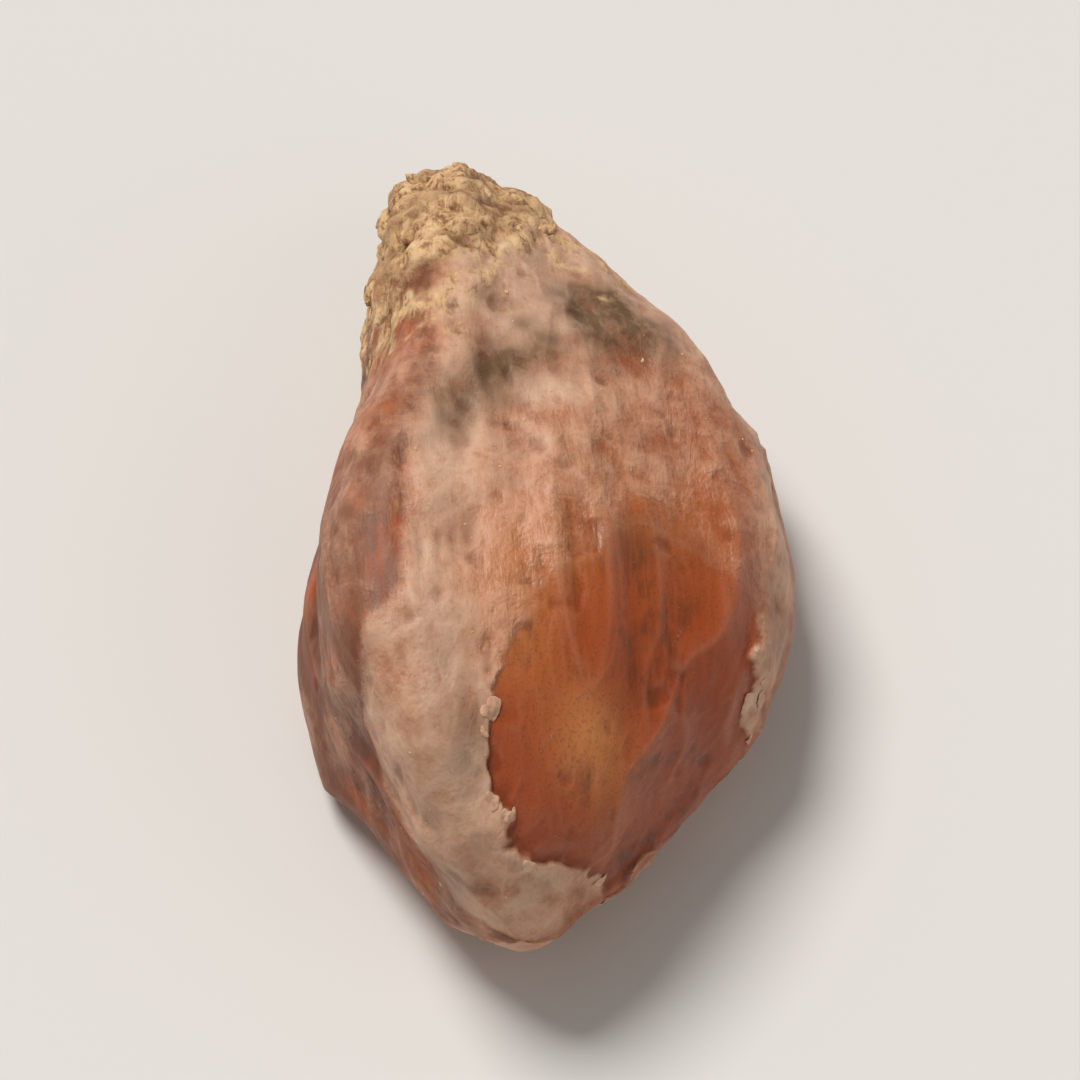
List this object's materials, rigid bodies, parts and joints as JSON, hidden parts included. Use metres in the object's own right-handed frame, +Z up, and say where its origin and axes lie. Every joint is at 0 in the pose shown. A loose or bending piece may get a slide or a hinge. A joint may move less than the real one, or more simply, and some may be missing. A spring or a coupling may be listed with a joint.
{
  "type": "quince seed",
  "caption": "Dried quince seed, drop-shaped and wedge-like in section, with a pointed hilum end, long ridges and a film of dried mucilage.",
  "frame": {"origin": "centre of the seed's box in X and Y, on the base plane that its small flat spot rests on", "axes": "+Y towards the pointed hilum end, +X towards the thin margin with the raphe, +Z up from the flat spot"},
  "size_m": [0.0044, 0.0076, 0.003],
  "materials": {
    "dried_testa": "satin"
  },
  "bodies": {
    "root": {"quince_seed": "dried_testa"}
  },
  "joints": []
}
